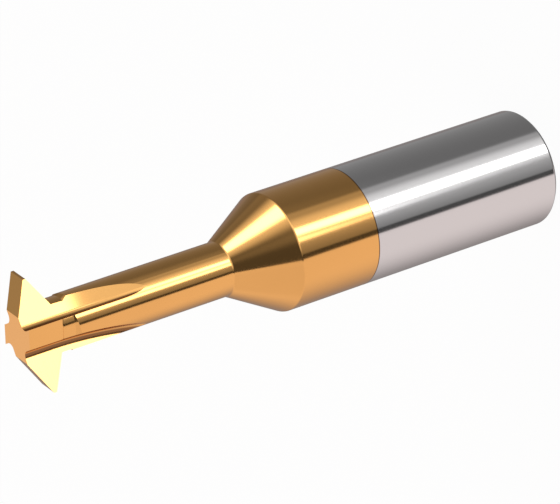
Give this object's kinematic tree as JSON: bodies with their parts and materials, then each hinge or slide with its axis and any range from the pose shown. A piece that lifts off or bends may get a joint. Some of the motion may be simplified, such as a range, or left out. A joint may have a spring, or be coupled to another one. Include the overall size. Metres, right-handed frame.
{
  "type": "back chamfer cutter",
  "caption": "Solid carbide back chamfer cutter: a round shank, a cone down to a slim neck, and a head of pointed straight-fluted teeth that bevels the far edge of a hole.",
  "frame": {"origin": "centre of the shank's end face, on the tool's axis", "axes": "+Z along the tool's axis from the shank's end face to the tip, +X along one of the teeth"},
  "size_m": [0.012, 0.012, 0.06],
  "materials": {
    "ground_carbide": "polished"
  },
  "bodies": {
    "root": {"cutter": "ground_carbide"}
  },
  "joints": []
}
